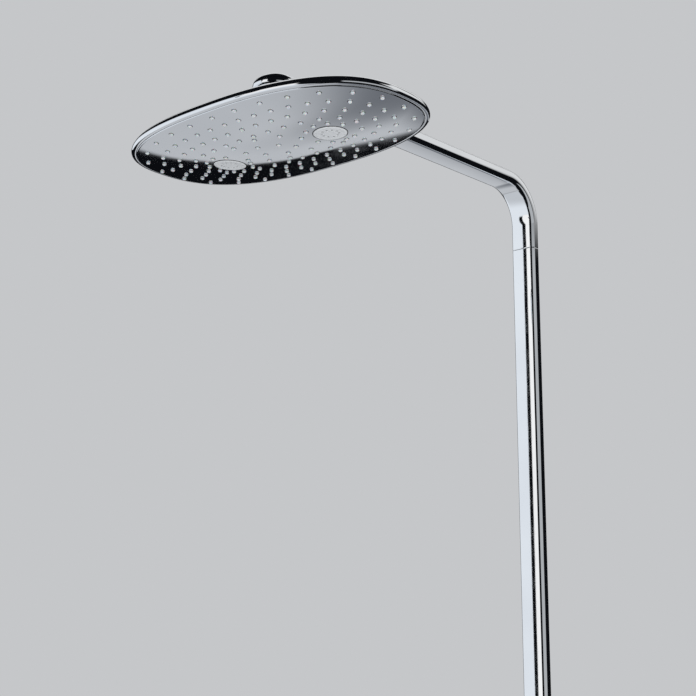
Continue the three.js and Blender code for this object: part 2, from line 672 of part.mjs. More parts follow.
// A cup over the bar's end with a hub on the cartridge's stem and a recess for its cap.
function handle() {
  const inside = HANDLE_RADIUS - 3.5;
  const length = HANDLE_LENGTH;
  const cup = [[inside, 0.6], [HANDLE_RADIUS - 1, 0.6], [HANDLE_RADIUS, 2], [HANDLE_RADIUS, length - 2]];
  const end = [[HANDLE_RADIUS - 2, length], [18, length], [18, length - 8], [2.2, length - 8]];
  const hub = [[2.2, 25], [5.4, 25], [5.4, 4], [HUB_WALL, 4], [HUB_WALL, 28], [inside, 28]];
  return turned([...cup, ...end, ...hub, cup[0]], ROUND);
}

function handleCap() {
  const under = HANDLE_LENGTH - 3;
  const edge = [[17.6, under], [17.6, HANDLE_LENGTH - 0.6], [14, HANDLE_LENGTH]];
  return turned([[0, under], ...edge, [0, HANDLE_LENGTH]], MIDDLE_ROUND);
}

function handleScrew() {
  const head = HANDLE_LENGTH - 8 + GAP;
  return turned([[0, 24.5], [1.9, 24.5], [1.9, head], [3.6, head], [3.6, head + 2.5], [0, head + 2.5]], 12);
}

function temperatureHandle() {
  const hole = rod(BUTTON_RADIUS + GAP, HUB_WALL + 2, HANDLE_RADIUS + 3).rotateY(Math.PI / 2);
  return cut(handle(), hole.translate(0, 0, BUTTON_PLACE));
}

for (const [name, side, grip] of [['temperature', -1, temperatureHandle()], ['diverter', 1, handle()]]) {
  const place = [side * BAR_END, 0, 0];
  add(mixer, `${name}_handle`, alongBar(grip, side), chrome, place);
  add(mixer, `${name}_cap`, alongBar(handleCap(), side), chrome, place);
  add(mixer, `${name}_screw`, alongBar(handleScrew(), side), steel, place);
}
const buttonTop = HANDLE_RADIUS + BUTTON_TRAVEL;
const buttonEdge = [[BUTTON_RADIUS, 14], [BUTTON_RADIUS, buttonTop - 0.6], [BUTTON_RADIUS - 1, buttonTop]];
const button = turned([[0, 14], ...buttonEdge, [0, buttonTop]]);
add(mixer, 'safety_button', button, plastic, [-BAR_END - BUTTON_PLACE, 0, 0]);

export default shower;
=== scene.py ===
"""Looks of the rainfall shower column: fine surfaces, materials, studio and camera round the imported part.

Lengths are in millimetres, in the part's frame, and become metres where a mesh is made. The camera's and
the lights' places, and the scales inside materials, are in metres.
"""

import json
import math

import bmesh
import bpy
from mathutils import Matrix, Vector


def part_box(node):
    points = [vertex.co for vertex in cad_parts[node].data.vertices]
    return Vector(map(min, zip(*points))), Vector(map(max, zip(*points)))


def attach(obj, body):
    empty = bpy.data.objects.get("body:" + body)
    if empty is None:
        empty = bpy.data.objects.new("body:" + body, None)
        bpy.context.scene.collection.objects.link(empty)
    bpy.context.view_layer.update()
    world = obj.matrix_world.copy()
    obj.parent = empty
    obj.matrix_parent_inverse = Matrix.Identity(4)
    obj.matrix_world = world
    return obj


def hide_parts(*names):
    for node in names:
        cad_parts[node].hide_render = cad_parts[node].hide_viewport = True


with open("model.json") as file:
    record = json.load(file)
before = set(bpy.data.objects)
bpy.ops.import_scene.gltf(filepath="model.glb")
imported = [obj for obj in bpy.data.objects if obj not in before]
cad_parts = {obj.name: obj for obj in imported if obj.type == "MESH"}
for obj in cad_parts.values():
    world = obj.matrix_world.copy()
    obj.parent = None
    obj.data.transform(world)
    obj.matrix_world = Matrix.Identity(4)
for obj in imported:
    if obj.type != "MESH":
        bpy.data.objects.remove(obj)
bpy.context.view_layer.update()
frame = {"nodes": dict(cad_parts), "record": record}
MM = 0.001


# ---- Places, read from the frame ----------------------------------------------------------------

def corners(node):
    low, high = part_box(node)
    return low / MM, high / MM


def middle(node):
    low, high = corners(node)
    return (low + high) / 2


shell_low, shell_high = corners("head_top_shell")
HEAD_X, HEAD_Y = middle("head_top_shell").x, middle("head_top_shell").y
HALF_LENGTH = (shell_high.x - shell_low.x) / 2
HALF_WIDTH = (shell_high.y - shell_low.y) / 2
RIM_Z = shell_low.z + 1.5
HEAD = Vector((HEAD_X, HEAD_Y, RIM_Z))
RISER_LOW, RISER_HIGH = corners("riser_tube")
AXIS_Y = middle("riser_tube").y
SEAM_Z = RISER_HIGH.z
SECTION_WIDTH = RISER_HIGH.x - RISER_LOW.x
SECTION_DEPTH = RISER_HIGH.y - RISER_LOW.y
SECTION_CORNER = 6.0
WALL = 1.5
ARM_LOW, ARM_HIGH = corners("arm_tube")
ARM_Z = ARM_HIGH.z - SECTION_DEPTH / 2
BEND = 45 + SECTION_DEPTH / 2
HUB_LOW, HUB_HIGH = corners("hub_body")
HUB_RADIUS = (HUB_HIGH.x - HUB_LOW.x) / 2
HUB_TOP = corners("hub_cap")[1].z
BAR_LOW, BAR_HIGH = corners("mixer_body")
MIXER = Vector((0, AXIS_Y, middle("thermostat_cartridge").z))
BAR_END = BAR_HIGH.x


# ---- Meshes -------------------------------------------------------------------------------------

def arc(centre, radius, start, end, steps):
    """Points on a circle in a plane, between two angles in degrees."""
    points = []
    for k in range(steps + 1):
        angle = math.radians(start + (end - start) * k / steps)
        points.append((centre[0] + radius * math.cos(angle), centre[1] + radius * math.sin(angle)))
    return points


def eased(points, radius, steps=5):
    """The outline with every corner between its ends rounded, by at most the given radius."""
    result = []
    for k, point in enumerate(points):
        if k in (0, len(points) - 1):
            result.append(point)
            continue
        before, here, after = Vector(points[k - 1]), Vector(point), Vector(points[k + 1])
        to_before, to_after = before - here, after - here
        reach = min(radius, to_before.length * 0.45, to_after.length * 0.45)
        if reach < 0.02 or to_before.angle(-to_after) < 0.08:
            result.append(point)
            continue
        start, end = here + to_before.normalized() * reach, here + to_after.normalized() * reach
        for step in range(steps + 1):
            t = step / steps
            result.append(tuple(start * (1 - t) ** 2 + here * 2 * t * (1 - t) + end * t ** 2))
    return result


def flowing(points, steps=6):
    """A Catmull-Rom curve through the points."""
    ends = [points[0], *points, points[-1]]
    result = []
    for k in range(1, len(ends) - 2):
        a, b, c, d = (Vector(p) for p in ends[k - 1:k + 3])
        for step in range(steps):
            t = step / steps
            bend, twist = 2 * a - 5 * b + 4 * c - d, 3 * b - a - 3 * c + d
            spot = 2 * b + (c - a) * t + bend * t ** 2 + twist * t ** 3
            result.append(tuple(spot / 2))
    result.append(tuple(points[-1]))
    return result


def rounded_rectangle(width, depth, corner, steps=12):
    points = []
    for quarter, (side_x, side_y) in enumerate(((1, 1), (-1, 1), (-1, -1), (1, -1))):
        centre = (side_x * (width / 2 - corner), side_y * (depth / 2 - corner))
        points += arc(centre, corner, quarter * 90, quarter * 90 + 90, steps)
    return points


class Solid:
    """Vertices and faces being collected, in millimetres."""

    def __init__(self):
        self.verts = []
        self.faces = []

    def loft(self, rings, loop=False):
        """Joins rings of equally many points. The ends are capped, or meet each other in a loop."""
        first, count = len(self.verts), len(rings[0])
        for ring in rings:
            self.verts += [Vector(p) for p in ring]
        last = len(rings) if loop else len(rings) - 1
        for r in range(last):
            a, b = first + r * count, first + ((r + 1) % len(rings)) * count
            for k in range(count):
                n = (k + 1) % count
                self.faces.append((a + k, a + n, b + n, b + k))
        if not loop:
            self.faces.append(tuple(range(first, first + count)))
            self.faces.append(tuple(first + (len(rings) - 1) * count + k for k in range(count)))
        return self

    def turn(self, profile, place=(0, 0, 0), axis="Z", segments=96, radius_at=None):
        """Turns (radius, height) pairs about an axis. A profile off the axis at its ends closes on itself."""
        basis = {
            "Z": ((1, 0, 0), (0, 1, 0), (0, 0, 1)), "X": ((0, 1, 0), (0, 0, 1), (1, 0, 0)),
            "-X": ((0, 0, 1), (0, 1, 0), (-1, 0, 0)), "-Y": ((1, 0, 0), (0, 0, 1), (0, -1, 0)),
            "Y": ((0, 0, 1), (1, 0, 0), (0, 1, 0)),
        }[axis] if isinstance(axis, str) else axis
        u, v, w = (Vector(b) for b in basis)
        rings = []
        for radius, height in profile:
            ring = []
            for k in range(segments):
                angle = 2 * math.pi * k / segments
                r = radius_at(radius, height, angle) if radius_at else radius
                ring.append(Vector(place) + u * r * math.cos(angle) + v * r * math.sin(angle) + w * height)
            rings.append(ring)
        on_axis = profile[0][0] < 1e-6 and profile[-1][0] < 1e-6
        return self.loft(rings, loop=not on_axis)

    def finish(self, name, body, finish, replaces=(), slot=None, sharp=35):
        mesh = bpy.data.meshes.new(name)
        mesh.from_pydata([v * MM for v in self.verts], [], self.faces)
        work = bmesh.new()
        work.from_mesh(mesh)
        bmesh.ops.remove_doubles(work, verts=work.verts, dist=1e-6)
        bmesh.ops.dissolve_degenerate(work, edges=work.edges, dist=1e-7)
        bmesh.ops.recalc_face_normals(work, faces=work.faces)
        work.to_mesh(mesh)
        work.free()
        mesh.shade_smooth()
        mesh.set_sharp_from_angle(angle=math.radians(sharp))
        mesh.materials.append(finish)
        piece = bpy.data.objects.new(name, mesh)
        bpy.context.scene.collection.objects.link(piece)
        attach(piece, body)
        if replaces:
            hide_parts(*replaces)
        return piece


# ---- Materials ----------------------------------------------------------------------------------

def new_material(name):
    made = bpy.data.materials.new(name)
    made.use_nodes = True
    nodes = made.node_tree.nodes
    return made, nodes, made.node_tree.links, nodes["Principled BSDF"]


def noise(nodes, links, scale, detail=3.0, roughness=0.5, stretch=None):
    """A noise over the object's own coordinates, in metres."""
    coordinates = nodes.new("ShaderNodeTexCoord")
    texture = nodes.new("ShaderNodeTexNoise")
    texture.inputs["Scale"].default_value = scale
    texture.inputs["Detail"].default_value = detail
    texture.inputs["Roughness"].default_value = roughness
    source = coordinates.outputs["Object"]
    if stretch:
        mapping = nodes.new("ShaderNodeMapping")
        mapping.inputs["Scale"].default_value = stretch
        links.new(source, mapping.inputs["Vector"])
        source = mapping.outputs["Vector"]
    links.new(source, texture.inputs["Vector"])
    return texture.outputs["Fac"]


def spread(nodes, links, value, low, high, from_low=0.3, from_high=0.7):
    """The value's usual range stretched to low..high."""
    span = nodes.new("ShaderNodeMapRange")
    span.inputs["From Min"].default_value = from_low
    span.inputs["From Max"].default_value = from_high
    span.inputs["To Min"].default_value = low
    span.inputs["To Max"].default_value = high
    links.new(value, span.inputs["Value"])
    return span.outputs["Result"]


def tinted(nodes, links, value, first, second):
    ramp = nodes.new("ShaderNodeValToRGB")
    ramp.color_ramp.elements[0].position = 0.35
    ramp.color_ramp.elements[1].position = 0.65
    ramp.color_ramp.elements[0].color = (*first, 1)
    ramp.color_ramp.elements[1].color = (*second, 1)
    links.new(value, ramp.inputs["Fac"])
    return ramp.outputs["Color"]


def bumped(nodes, links, shader, layers):
    """Stacks bumps: each layer is (height, strength, distance in metres)."""
    normal = None
    for height, strength, distance in layers:
        bump = nodes.new("ShaderNodeBump")
        bump.inputs["Strength"].default_value = strength
        bump.inputs["Distance"].default_value = distance
        links.new(height, bump.inputs["Height"])
        if normal:
            links.new(normal, bump.inputs["Normal"])
        normal = bump.outputs["Normal"]
    links.new(normal, shader.inputs["Normal"])


def plated(name, first, second, smooth, worn, wave):
    """Polished plating: faint waves from the polishing, fine wipe marks and dried-water haze."""
    made, nodes, links, shader = new_material(name)
    shader.inputs["Metallic"].default_value = 1.0
    tone = tinted(nodes, links, noise(nodes, links, 9, 2), first, second)
    links.new(tone, shader.inputs["Base Color"])
    haze = noise(nodes, links, 60, 5, 0.65)
    wipes = noise(nodes, links, 1, 4, 0.6, (900, 900, 40))
    blend = nodes.new("ShaderNodeMath")
    blend.operation = "MULTIPLY"
    links.new(haze, blend.inputs[0])
    links.new(wipes, blend.inputs[1])
    gloss = spread(nodes, links, blend.outputs["Value"], smooth, worn, 0.15, 0.4)
    links.new(gloss, shader.inputs["Roughness"])
    waves = noise(nodes, links, 14, 1)
    fine = noise(nodes, links, 1500, 2)
    bumped(nodes, links, shader, [(waves, wave, 0.0005), (fine, 0.02, 0.00002)])
    return made


def moulded(name, first, second, roughness, grain_scale, grain, sheen_scale=40, soft=0.0):
    """Moulded plastic or rubber: a fine grain, uneven gloss and a slight drift of colour."""
    made, nodes, links, shader = new_material(name)
    tone = tinted(nodes, links, noise(nodes, links, 25, 3), first, second)
    links.new(tone, shader.inputs["Base Color"])
    gloss = noise(nodes, links, sheen_scale, 4)
    links.new(spread(nodes, links, gloss, roughness - 0.06, roughness + 0.08), shader.inputs["Roughness"])
    shader.inputs["Subsurface Weight"].default_value = soft
    shader.inputs["Subsurface Scale"].default_value = 0.002
    bumped(nodes, links, shader, [(noise(nodes, links, grain_scale, 2), grain, 0.0001)])
    return made


def machined(name, first, second, roughness, stretch):
    """Bare metal with the marks of the tool that cut or brushed it."""
    made, nodes, links, shader = new_material(name)
    shader.inputs["Metallic"].default_value = 1.0
    links.new(tinted(nodes, links, noise(nodes, links, 30, 4), first, second), shader.inputs["Base Color"])
    marks = noise(nodes, links, 1, 5, 0.7, stretch)
    links.new(spread(nodes, links, marks, roughness - 0.08, roughness + 0.12), shader.inputs["Roughness"])
    bumped(nodes, links, shader, [(marks, 0.25, 0.00005)])
    return made


FINISH = {
    "chrome": plated("polished_chrome", (0.80, 0.81, 0.825), (0.86, 0.87, 0.88), 0.015, 0.055, 0.02),
    "mirror_chrome": plated("mirror_chrome", (0.74, 0.755, 0.775), (0.80, 0.81, 0.825), 0.03, 0.09, 0.02),
    "silicone": moulded(
        "nozzle_silicone", (0.70, 0.745, 0.76), (0.80, 0.83, 0.84), 0.42, 700, 0.25, 200, 0.15),
    "pale_plastic": moulded("moon_plastic", (0.80, 0.82, 0.83), (0.87, 0.885, 0.89), 0.34, 2200, 0.12),
    "dark_plastic": moulded("dark_plastic", (0.035, 0.038, 0.042), (0.06, 0.063, 0.068), 0.42, 1500, 0.3),
    "rubber": moulded("black_rubber", (0.012, 0.012, 0.013), (0.028, 0.028, 0.03), 0.68, 900, 0.4),
    "steel": machined("brushed_steel", (0.46, 0.47, 0.48), (0.6, 0.61, 0.62), 0.3, (60, 60, 1800)),
    "brass": machined("turned_brass", (0.55, 0.40, 0.17), (0.68, 0.52, 0.26), 0.34, (120, 120, 2200)),
    "hose": moulded("braided_hose", (0.48, 0.49, 0.5), (0.62, 0.63, 0.64), 0.5, 1200, 0.5),
}


# ---- Camera, floor and studio -------------------------------------------------------------------

CAMERA_FROM_HEAD = Vector((0.9672, -0.9800, -0.5109))  # metres
CAMERA_AZIMUTH = 41.40  # degrees left of straight ahead
CAMERA_PITCH = 11.63  # degrees above level
CAMERA_LENS = 70.4


def make_camera():
    """Below and in front of the head, looking up across it to the column."""
    data = bpy.data.cameras.new("camera")
    data.lens = CAMERA_LENS
    camera = bpy.data.objects.new("camera", data)
    bpy.context.scene.collection.objects.link(camera)
    camera.location = HEAD * MM + CAMERA_FROM_HEAD
    azimuth, pitch = math.radians(CAMERA_AZIMUTH), math.radians(CAMERA_PITCH)
    level = Vector((-math.sin(azimuth), math.cos(azimuth), 0)) * math.cos(pitch)
    ahead = level + Vector((0, 0, math.sin(pitch)))
    camera.rotation_euler = ahead.to_track_quat("-Z", "Y").to_euler()
    data.clip_end = 200
    bpy.context.scene.camera = camera
    bpy.context.scene.view_settings.view_transform = "Standard"


FLOOR_DROP = 1560  # floor below the bracket: the head hangs 2.2 m above it
FLOOR_RADIUS = 16000


def make_floor():
    made, nodes, links, shader = new_material("pale_floor")
    links.new(tinted(nodes, links, noise(nodes, links, 3, 4), (0.62, 0.625, 0.635), (0.64, 0.645, 0.655)),
              shader.inputs["Base Color"])
    shader.inputs["Roughness"].default_value = 0.75
    mesh = bpy.data.meshes.new("floor")
    edge = arc((0, 0), FLOOR_RADIUS * MM, 0, 360, 180)[:-1]
    mesh.from_pydata([(x, y, -FLOOR_DROP * MM) for x, y in edge], [], [tuple(range(len(edge)))])
    mesh.materials.append(made)
    floor = bpy.data.objects.new("floor", mesh)
    bpy.context.scene.collection.objects.link(floor)
    floor.visible_glossy = False


class Studio:
    """The surroundings: a plain pale backdrop, soft light, and panels that only polished metal shows."""

    def __init__(self):
        world = bpy.data.worlds.new("studio")
        bpy.context.scene.world = world
        world.use_nodes = True
        self.nodes = world.node_tree.nodes
        self.links = world.node_tree.links
        self.nodes.clear()
        coordinates = self.nodes.new("ShaderNodeTexCoord")
        split = self.nodes.new("ShaderNodeSeparateXYZ")
        self.links.new(coordinates.outputs["Generated"], split.inputs["Vector"])
        backwards = self.math("MULTIPLY", split.outputs["Y"], -1.0)
        turn = self.math("ARCTAN2", split.outputs["X"], backwards)
        rise = self.math("ARCSINE", split.outputs["Z"])
        self.azimuth = self.math("DEGREES", turn)  # from -Y towards +X
        self.elevation = self.math("DEGREES", rise)

    def math(self, operation, first, second=None):
        node = self.nodes.new("ShaderNodeMath")
        node.operation = operation
        for socket, value in zip(node.inputs, (first, second)):
            if value is None:
                continue
            if isinstance(value, (int, float)):
                socket.default_value = value
            else:
                self.links.new(value, socket)
        return node.outputs["Value"]

    def step(self, value, edge, softness):
        """0 below the edge and 1 above it."""
        node = self.nodes.new("ShaderNodeMapRange")
        node.interpolation_type = "SMOOTHSTEP"
        node.inputs["From Min"].default_value = edge - softness
        node.inputs["From Max"].default_value = edge + softness
        self.links.new(value, node.inputs["Value"])
        return node.outputs["Result"]

    def between(self, value, low, high, softness):
        above = self.step(value, low, softness)
        over = self.step(value, high, softness)
        return self.math("SUBTRACT", above, over)

    def mix(self, share, first, second):
        node = self.nodes.new("ShaderNodeMix")
        node.data_type = "RGBA"
        for socket, value in ((node.inputs[6], first), (node.inputs[7], second)):
            if isinstance(value, tuple):
                socket.default_value = (*value, 1)
            else:
                self.links.new(value, socket)
        self.links.new(share, node.inputs[0])
        return node.outputs[2]

    def panel(self, behind, colour, azimuth, elevation, softness=2.0, rise_softness=3.0):
        """Lays a soft-edged panel over what is there, between two azimuths and two elevations in degrees."""
        share = self.math(
            "MULTIPLY",
            self.between(self.azimuth, *azimuth, softness),
            self.between(self.elevation, *elevation, rise_softness),
        )
        return self.mix(share, behind, colour)


# What the studio's parts send out, in linear red, green and blue.
BACKDROP = (0.56, 0.57, 0.585)
AMBIENT = (0.66, 0.67, 0.69)
DARK = (0.004, 0.0045, 0.006)
WHITE = (1.05, 1.05, 1.05)
PALE = (0.86, 0.91, 0.97)
SOFT_WHITE = (0.60, 0.63, 0.67)
SIDE_WALL = (0.48, 0.50, 0.52)
UPPER_WALL = (0.78, 0.79, 0.8)
FLOOR_PALE = (0.57, 0.59, 0.62)
FLOOR_SHADE = (0.17, 0.182, 0.205)


def make_studio():
    studio = Studio()
    seen = DARK
    # In front stand a pale panel and a white one, with a slit between them that widens above eye level.
    seen = studio.panel(seen, WHITE, (-25, 2), (-20, 27), 2.0)
    seen = studio.panel(seen, PALE, (-104, 2), (-70, -8), 2.0)
    seen = studio.panel(seen, PALE, (-104, -33.1), (-24, 27), 0.15)
    seen = studio.panel(seen, SOFT_WHITE, (-104, 2), (-70, -42), 2.0, 12.0)
    seen = studio.panel(seen, WHITE, (-31.2, -12), (-10, 19), 0.15, 1.5)
    seen = studio.panel(seen, SIDE_WALL, (47, 128), (-24, 17), 3.0, 2.0)
    # Behind, a white wall rises over dark tiles.
    seen = studio.panel(seen, UPPER_WALL, (124, 176), (17, 52), 3.0, 2.0)
    seen = studio.panel(seen, UPPER_WALL, (-176, -112), (31, 58), 4.0)
    # The floor to the left is pale up to a slanting edge, and in shade towards the back.
    leftwards = studio.math("MAXIMUM", studio.math("ADD", studio.azimuth, 139.0), 0.0)
    rearwards = studio.math("MAXIMUM", studio.math("SUBTRACT", -141.0, studio.azimuth), 0.0)
    slant = studio.math(
        "ADD", studio.math("MULTIPLY", leftwards, 0.8),
        studio.math("MINIMUM", studio.math("MULTIPLY", rearwards, 1.1), 8.0),
    )
    edge = studio.math("ADD", studio.elevation, studio.math("ADD", slant, 9.4))
    below = studio.math("SUBTRACT", 1.0, studio.step(edge, 0.0, 1.0))
    low_left = studio.math("MULTIPLY", studio.between(studio.azimuth, -170, -104, 8.0), below)
    shade = studio.math(
        "MULTIPLY",
        studio.math("SUBTRACT", 1.0, studio.step(studio.azimuth, -137.0, 9.0)),
        studio.math("SUBTRACT", 1.0, studio.step(studio.elevation, -24.0, 8.0)),
    )
    far = studio.math("SUBTRACT", 1.0, studio.step(studio.azimuth, -146.5, 2.0))
    floor_tone = studio.mix(studio.math("MAXIMUM", shade, far), FLOOR_PALE, FLOOR_SHADE)
    seen = studio.mix(low_left, seen, floor_tone)

    rays = studio.nodes.new("ShaderNodeLightPath")
    plain = studio.mix(rays.outputs["Is Glossy Ray"], AMBIENT, seen)
    shown = studio.mix(rays.outputs["Is Camera Ray"], plain, BACKDROP)
    background = studio.nodes.new("ShaderNodeBackground")
    studio.links.new(shown, background.inputs["Color"])
    output = studio.nodes.new("ShaderNodeOutputWorld")
    studio.links.new(background.outputs["Background"], output.inputs["Surface"])


LIGHT_TARGET = Vector((0, -0.3, 0.2))  # metres


def make_light(name, place, size, power):
    """A soft light for the matt surfaces. Polished metal shows the studio's panels instead."""
    data = bpy.data.lights.new(name, "AREA")
    data.shape = "DISK"
    data.size = size
    data.energy = power
    light = bpy.data.objects.new(name, data)
    bpy.context.scene.collection.objects.link(light)
    light.location = place
    light.rotation_euler = (LIGHT_TARGET - light.location).to_track_quat("-Z", "Y").to_euler()
    light.visible_glossy = False


# ---- Head ---------------------------------------------------------------------------------------

HEAD_POWER = 2.5  # superellipse exponent
RIM_BAND = 40
FACE_BULGE = 12
FACE_EDGE = -1.5
HEAD_SEGMENTS = 256


def half_width_at(radius):
    """The ovals keep their shape in the middle and grow towards an even distance from the outline."""
    inner = (HALF_WIDTH - RIM_BAND) / (HALF_LENGTH - RIM_BAND)
    beyond = max(0.0, radius - (HALF_LENGTH - 2 * RIM_BAND))
    return inner * radius + (1 - inner) * beyond ** 2 / (4 * RIM_BAND)


def oval_point(half_length, half_width, angle):
    c, s = math.cos(angle), math.sin(angle)
    power = 2 / HEAD_POWER
    along = math.copysign(abs(c) ** power, c)
    across = math.copysign(abs(s) ** power, s)
    return Vector((along * half_length, across * half_width))


def oval_angles():
    """Angles that put the points evenly round the head's outline."""
    fine = [2 * math.pi * k / 4096 for k in range(4097)]
    outline = [oval_point(HALF_LENGTH, HALF_WIDTH, angle) for angle in fine]
    lengths = [0.0]
    for a, b in zip(outline, outline[1:]):
        lengths.append(lengths[-1] + (b - a).length)
    angles, k = [], 0
    for step in range(HEAD_SEGMENTS):
        wanted = lengths[-1] * step / HEAD_SEGMENTS
        while lengths[k + 1] < wanted:
            k += 1
        share = (wanted - lengths[k]) / (lengths[k + 1] - lengths[k])
        angles.append(fine[k] + (fine[k + 1] - fine[k]) * share)
    return angles


OVAL_ANGLES = oval_angles()


def oval_ring(radius, height):
    ring = []
    for angle in OVAL_ANGLES:
        flat = oval_point(radius, half_width_at(radius), angle)
        ring.append(HEAD + Vector((flat.x, flat.y, height)))
    return ring


def face_height(radius):
    return FACE_EDGE - FACE_BULGE * (1 - (radius / HALF_LENGTH) ** 2)


def face_radius(x, y):
    """The oval through a point of the face, by halving."""
    low, high = 0.5, HALF_LENGTH
    for _ in range(40):
        radius = (low + high) / 2
        reach = (abs(x) / radius) ** HEAD_POWER + (abs(y) / half_width_at(radius)) ** HEAD_POWER
        if reach > 1:
            low = radius
        else:
            high = radius
    return radius


def face_frame(x, y):
    """A point of the spray face and the three axes there: two along it and one out of it, downwards."""
    def spot(px, py):
        return Vector((px, py, face_height(face_radius(px, py))))

    here = spot(x, y)
    out = (spot(x, y + 1) - spot(x, y - 1)).cross(spot(x + 1, y) - spot(x - 1, y)).normalized()
    along = (spot(x + 1, y) - spot(x - 1, y)).normalized()
    return HEAD + here, (along, out.cross(along).normalized(), out)


def make_head_shell():
    """The chromed dome with its rolled rim."""
    r = HALF_LENGTH
    inner = [(20.4, 25.2), (60, 22.5), (130, 15.5), (r - 12, 8.5), (r - 5.5, 4)]
    lip = [(r - 5, FACE_EDGE + 0.4), (r - 4.6, FACE_EDGE), (r - 3.4, FACE_EDGE - 0.05)]
    roll = [(r - 1.1, -0.9), (r, 0.9), (r - 0.5, 3.6), (r - 2.9, 7.1), (r - 8, 10)]
    dome = [(r - 20, 12.7), (130, 18.2), (95, 22.1), (60, 25.2), (34, 26.9), (21, 27.4), (20, 27.0)]
    outer = flowing([*lip, *roll, *dome], 6)
    rings = [oval_ring(radius, height) for radius, height in [*inner, *outer]]
    solid = Solid().loft(rings, loop=True)
    solid.finish("head_shell", "head", FINISH["chrome"], ["head_top_shell"], "chrome", 50)


def make_spray_face():
    """The mirror-bright plate, a shallow dish that bulges downwards."""
    edge = HALF_LENGTH - 5.4
    radii = [0.5, *[edge * k / 44 for k in range(1, 44)], edge - 1.6, edge - 0.8]
    under = [oval_ring(radius, face_height(radius)) for radius in radii]
    roll = [oval_ring(edge - 0.8 + 0.8 * math.sin(math.radians(a)),
                      face_height(edge) + 0.8 - 0.8 * math.cos(math.radians(a))) for a in (30, 60, 90)]
    over = [oval_ring(radius, face_height(radius) + 1.5) for radius in reversed(radii)]
    solid = Solid().loft([*under, *roll, *over])
    solid.finish("mirror_spray_face", "head", FINISH["mirror_chrome"], ["spray_face"], "mirror_chrome", 50)


DISC_X = middle("massage_disc_right").x
DISC_Y = middle("massage_disc_right").y - HEAD_Y
DISC_RADIUS = 17.8
DISC_OUTLETS = 10
OUTLET_CIRCLE = 9
NOZZLE_CIRCLE = 25.5  # the nozzles that stand round a disc, where there is room
NOZZLE_SPACING = 9.5
NOZZLE_RINGS = (  # half length, half width, number of nozzles, start of the count round the oval
    (165, 91.5, 26, 0.45), (147.5, 74, 35, 0.2), (130, 57, 31, 0.6), (113, 40, 25, 0.1),
)
MIDDLE_NOZZLES = (
    (-45, 4), (-31, -13), (-17, 3), (-9, -17), (5, 15), (14, -9), (25, 6), (-28, 20), (31, -25), (-6, 29),
    (30, 24), (-32, -30), (2, -33), (45, -7),
)


def spaced_oval(half_length, half_width, count, start):
    """Points evenly spaced along an oval."""
    fine = [oval_point(half_length, half_width, 2 * math.pi * k / 1440) for k in range(1441)]
    steps = [(b - a).length for a, b in zip(fine, fine[1:])]
    total = sum(steps)
    walked, wanted, points = 0.0, start, []
    for point, step in zip(fine, steps):
        if walked >= wanted * total / count:
            points.append(point)
            wanted += 1
        walked += step
    return points[:count]


def nozzle_places():
    """Four ovals of nozzles, a scatter in the middle, and a circle round each disc where there is room."""
    places = []
    for half_length, half_width, count, start in NOZZLE_RINGS:
        places += spaced_oval(half_length, half_width, count, start)
    places += [Vector(spot) for spot in MIDDLE_NOZZLES]
    for side in (-1, 1):
        centre = Vector((side * DISC_X, DISC_Y))
        for k in range(10):
            angle = math.radians(36 * k + 18)
            spot = centre + NOZZLE_CIRCLE * Vector((math.cos(angle), math.sin(angle)))
            if all((spot - other).length > NOZZLE_SPACING for other in places):
                places.append(spot)
    return places


def make_nozzles():
    """Soft domed tips that stand out of the plate, each in a dark seat, and the mat that they grow from."""
    side = [(0, -1.0), (2.2, -1.0), (2.2, 0.5), (2.05, 1.15), (1.7, 1.65)]
    tip = [*side, (1.2, 1.85), (0.85, 1.75), (0.6, 1.2), (0, 1.1)]
    solid = Solid()
    for spot in nozzle_places():
        place, axes = face_frame(spot.x, spot.y)
        solid.turn(eased(tip, 0.15, 2), place, axes, 20)
    radii = [0.5, 60, 110, 140, HALF_LENGTH - 17]
    under = [oval_ring(radius, face_height(radius) + 1.8) for radius in radii]
    over = [oval_ring(radius, face_height(radius) + 3.0) for radius in reversed(radii)]
    solid.loft([*under, *over])
    solid.finish("silicone_nozzles", "head", FINISH["silicone"], ["nozzle_mat"], "silicone", 40)
    seats = Solid()
    ring = [(2.25, -0.5), (2.85, -0.5), (2.85, 0.04), (2.25, 0.07)]
    for spot in nozzle_places():
        place, axes = face_frame(spot.x, spot.y)
        seats.turn(ring, place, axes, 24)
    seats.finish("nozzle_seats", "head", FINISH["rubber"], (), "rubber", 60)


def carve(piece, cutter):
    """Takes the cutter's shapes out of the piece, and removes the cutter."""
    cut = piece.modifiers.new("cut", "BOOLEAN")
    cut.object = cutter
    cut.solver = "EXACT"
    bpy.context.view_layer.update()
    shape = bpy.data.meshes.new_from_object(piece.evaluated_get(bpy.context.evaluated_depsgraph_get()))
    piece.modifiers.clear()
    piece.data = shape
    piece.data.shade_smooth()
    piece.data.set_sharp_from_angle(angle=math.radians(35))
    bpy.data.objects.remove(cutter)


